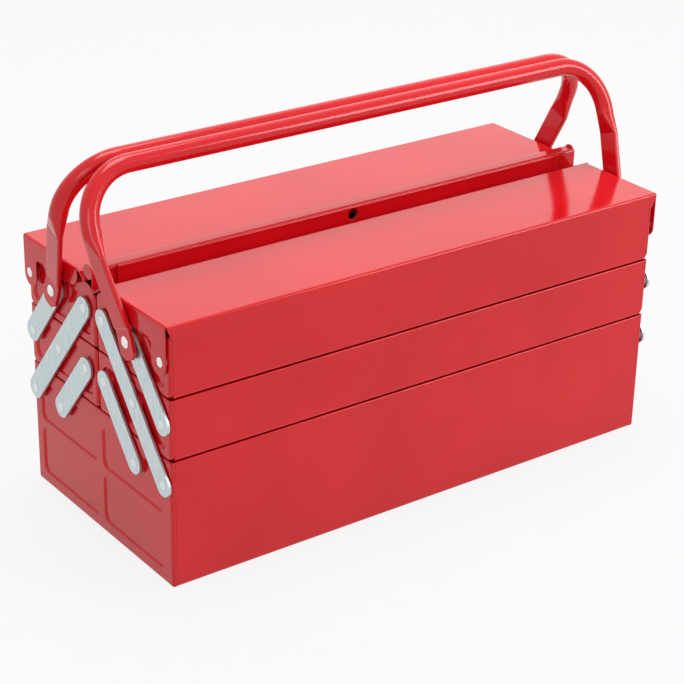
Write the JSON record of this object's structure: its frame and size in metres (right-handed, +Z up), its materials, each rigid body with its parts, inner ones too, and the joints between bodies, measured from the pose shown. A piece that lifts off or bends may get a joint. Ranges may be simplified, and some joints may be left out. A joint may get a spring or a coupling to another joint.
{
  "type": "cantilever tool box",
  "caption": "Red sheet-steel cantilever tool box: a deep base bin, trays that swing out on strip links, two hinged lids and two bail handles.",
  "frame": {"origin": "centre of the box's underside, on the plane it rests on", "axes": "+X along the box to the right-hand end, +Y to the back, +Z up"},
  "size_m": [0.4912, 0.203, 0.2976],
  "materials": {
    "red_powder_coat": "glossy",
    "galvanised_strip": "satin",
    "zinc_rivet": "satin",
    "bright_rivet": "satin",
    "zinc_washer": "satin"
  },
  "bodies": {
    "base": {"base_sheet": "red_powder_coat", "base_left_end": "red_powder_coat", "base_right_end": "red_powder_coat", "base_rivets": "zinc_rivet", "base_washers": "zinc_washer"},
    "front_long_links": {"front_long_link_left": "galvanised_strip", "front_long_link_right": "galvanised_strip"},
    "front_middle_tray": {"front_middle_sheet": "red_powder_coat", "front_middle_left_end": "red_powder_coat", "front_middle_right_end": "red_powder_coat", "front_middle_rivets": "zinc_rivet", "front_middle_washers": "zinc_washer"},
    "front_top_tray": {"front_top_sheet": "red_powder_coat", "front_top_left_end": "red_powder_coat", "front_top_right_end": "red_powder_coat", "front_top_rivets": "zinc_rivet", "front_top_washers": "zinc_washer", "front_lid_rivets": "bright_rivet", "front_handle_rivets": "bright_rivet"},
    "front_lower_links": {"front_lower_link_left": "galvanised_strip", "front_lower_link_right": "galvanised_strip"},
    "front_upper_links": {"front_upper_link_left": "galvanised_strip", "front_upper_link_right": "galvanised_strip"},
    "front_lid": {"front_lid": "red_powder_coat"},
    "front_handle": {"front_handle": "red_powder_coat"},
    "back_long_links": {"back_long_link_left": "galvanised_strip", "back_long_link_right": "galvanised_strip"},
    "back_middle_tray": {"back_middle_sheet": "red_powder_coat", "back_middle_left_end": "red_powder_coat", "back_middle_right_end": "red_powder_coat", "back_middle_rivets": "zinc_rivet", "back_middle_washers": "zinc_washer"},
    "back_top_tray": {"back_top_sheet": "red_powder_coat", "back_top_left_end": "red_powder_coat", "back_top_right_end": "red_powder_coat", "back_top_rivets": "zinc_rivet", "back_top_washers": "zinc_washer", "back_lid_rivets": "bright_rivet", "back_handle_rivets": "bright_rivet"},
    "back_lower_links": {"back_lower_link_left": "galvanised_strip", "back_lower_link_right": "galvanised_strip"},
    "back_upper_links": {"back_upper_link_left": "galvanised_strip", "back_upper_link_right": "galvanised_strip"},
    "back_lid": {"back_lid": "red_powder_coat"},
    "back_handle": {"back_handle": "red_powder_coat"}
  },
  "joints": [
    {"name": "front_unfold", "type": "hinge", "parent": "base", "child": "front_long_links", "pos_m": [0, -0.0927, 0.0823], "axis": [1, 0, 0], "range_deg": [0, 78]},
    {"name": "front_middle_tray_level", "type": "hinge", "parent": "front_long_links", "child": "front_middle_tray", "pos_m": [0, -0.053, 0.1307], "axis": [1, 0, 0], "range_deg": [-78, 0]},
    {"name": "front_top_tray_level", "type": "hinge", "parent": "front_long_links", "child": "front_top_tray", "pos_m": [0, -0.0133, 0.1791], "axis": [1, 0, 0], "range_deg": [-78, 0]},
    {"name": "front_lower_links_swing", "type": "hinge", "parent": "base", "child": "front_lower_links", "pos_m": [0, -0.053, 0.0823], "axis": [1, 0, 0], "range_deg": [0, 78]},
    {"name": "front_upper_links_swing", "type": "hinge", "parent": "front_top_tray", "child": "front_upper_links", "pos_m": [0, -0.053, 0.1791], "axis": [1, 0, 0], "range_deg": [0, 78]},
    {"name": "front_lid_hinge", "type": "hinge", "parent": "front_top_tray", "child": "front_lid", "pos_m": [0, -0.0925, 0.1786], "axis": [1, 0, 0], "range_deg": [0, 125]},
    {"name": "front_handle_hinge", "type": "hinge", "parent": "front_top_tray", "child": "front_handle", "pos_m": [0, -0.053, 0.1791], "axis": [1, 0, 0], "range_deg": [0, 170]},
    {"name": "back_unfold", "type": "hinge", "parent": "base", "child": "back_long_links", "pos_m": [0, 0.0927, 0.0823], "axis": [-1, 0, 0], "range_deg": [0, 78]},
    {"name": "back_middle_tray_level", "type": "hinge", "parent": "back_long_links", "child": "back_middle_tray", "pos_m": [0, 0.053, 0.1307], "axis": [-1, 0, 0], "range_deg": [-78, 0]},
    {"name": "back_top_tray_level", "type": "hinge", "parent": "back_long_links", "child": "back_top_tray", "pos_m": [0, 0.0133, 0.1791], "axis": [-1, 0, 0], "range_deg": [-78, 0]},
    {"name": "back_lower_links_swing", "type": "hinge", "parent": "base", "child": "back_lower_links", "pos_m": [0, 0.053, 0.0823], "axis": [-1, 0, 0], "range_deg": [0, 78]},
    {"name": "back_upper_links_swing", "type": "hinge", "parent": "back_top_tray", "child": "back_upper_links", "pos_m": [0, 0.053, 0.1791], "axis": [-1, 0, 0], "range_deg": [0, 78]},
    {"name": "back_lid_hinge", "type": "hinge", "parent": "back_top_tray", "child": "back_lid", "pos_m": [0, 0.0925, 0.1786], "axis": [-1, 0, 0], "range_deg": [0, 125]},
    {"name": "back_handle_hinge", "type": "hinge", "parent": "back_top_tray", "child": "back_handle", "pos_m": [0, 0.053, 0.1791], "axis": [-1, 0, 0], "range_deg": [0, 170]}
  ],
  "couplings": [
    {"joint": "front_middle_tray_level", "follows": "front_unfold", "ratio": -1},
    {"joint": "front_top_tray_level", "follows": "front_unfold", "ratio": -1},
    {"joint": "front_lower_links_swing", "follows": "front_unfold", "ratio": 1},
    {"joint": "front_upper_links_swing", "follows": "front_unfold", "ratio": 1},
    {"joint": "back_middle_tray_level", "follows": "back_unfold", "ratio": -1},
    {"joint": "back_top_tray_level", "follows": "back_unfold", "ratio": -1},
    {"joint": "back_lower_links_swing", "follows": "back_unfold", "ratio": 1},
    {"joint": "back_upper_links_swing", "follows": "back_unfold", "ratio": 1}
  ]
}
